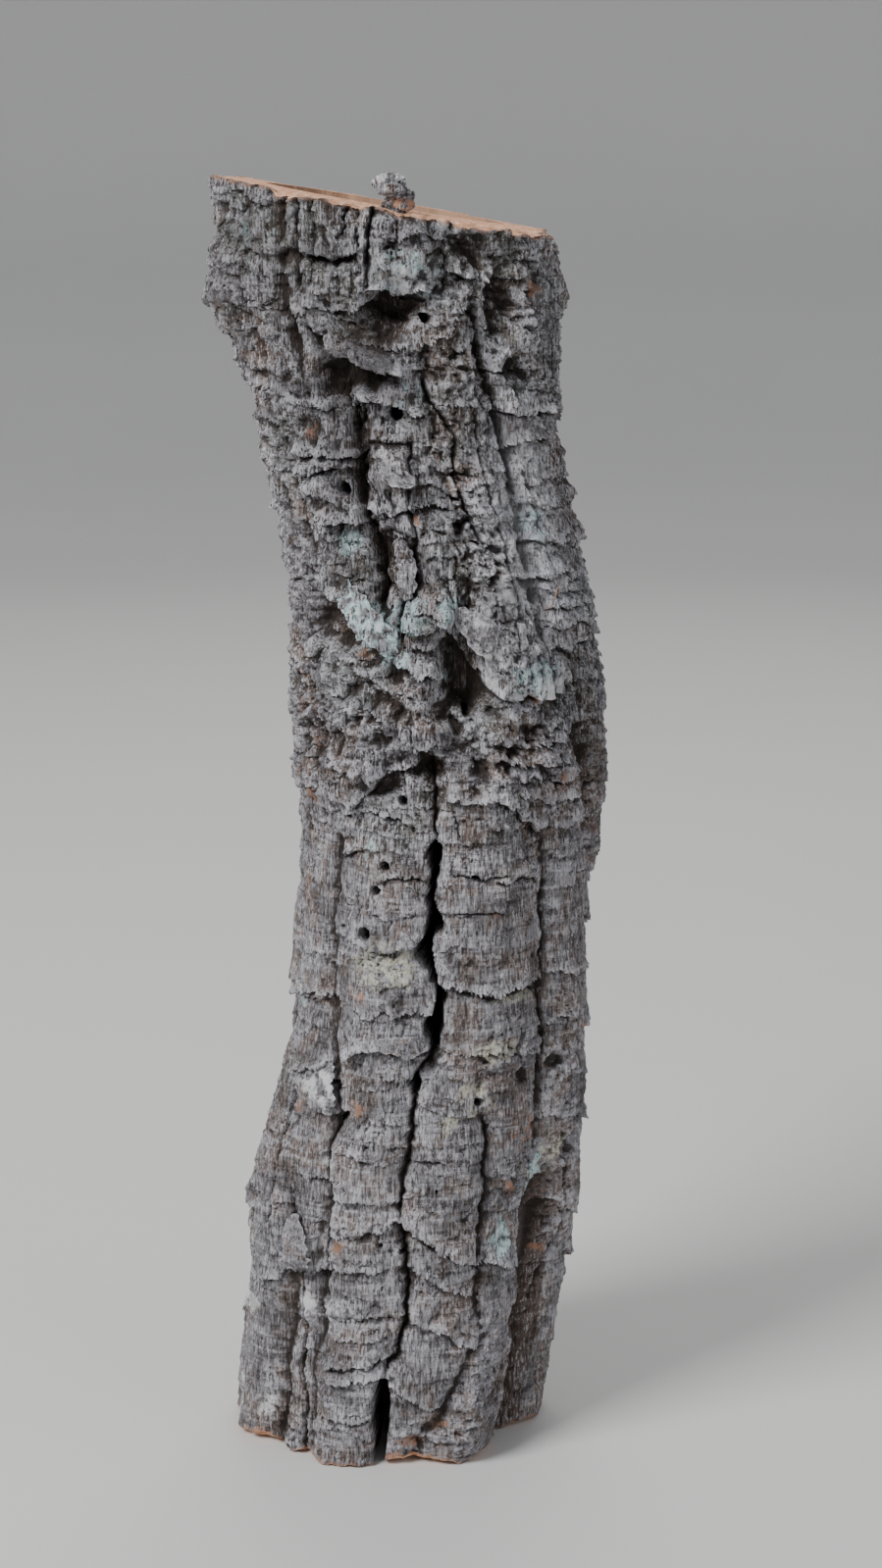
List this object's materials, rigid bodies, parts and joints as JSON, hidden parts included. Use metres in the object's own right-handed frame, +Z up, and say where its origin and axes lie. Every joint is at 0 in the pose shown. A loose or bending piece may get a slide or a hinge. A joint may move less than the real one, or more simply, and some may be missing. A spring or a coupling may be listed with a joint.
{
  "type": "cork branch",
  "caption": "Hollow cork-oak bark from a branch: a slightly bent, ribbed and pitted tube with a slit in its front, a sloping sawn top and a flat sawn base.",
  "frame": {"origin": "centre of the bounding box at the level of the flat lower cut, which is the plane it rests on", "axes": "+Z up along the branch, -Y towards the side with the open slit, +X to the right seen from that side, the lower side of the sloping top cut"},
  "size_m": [0.188, 0.1527, 0.6009],
  "materials": {
    "cork_bark": "weathered grey-brown cork bark, dry and rough, orange-brown where cut or broken, with mint-green and cream lichen"
  },
  "bodies": {
    "root": {"cork_branch": "cork_bark"}
  },
  "joints": []
}
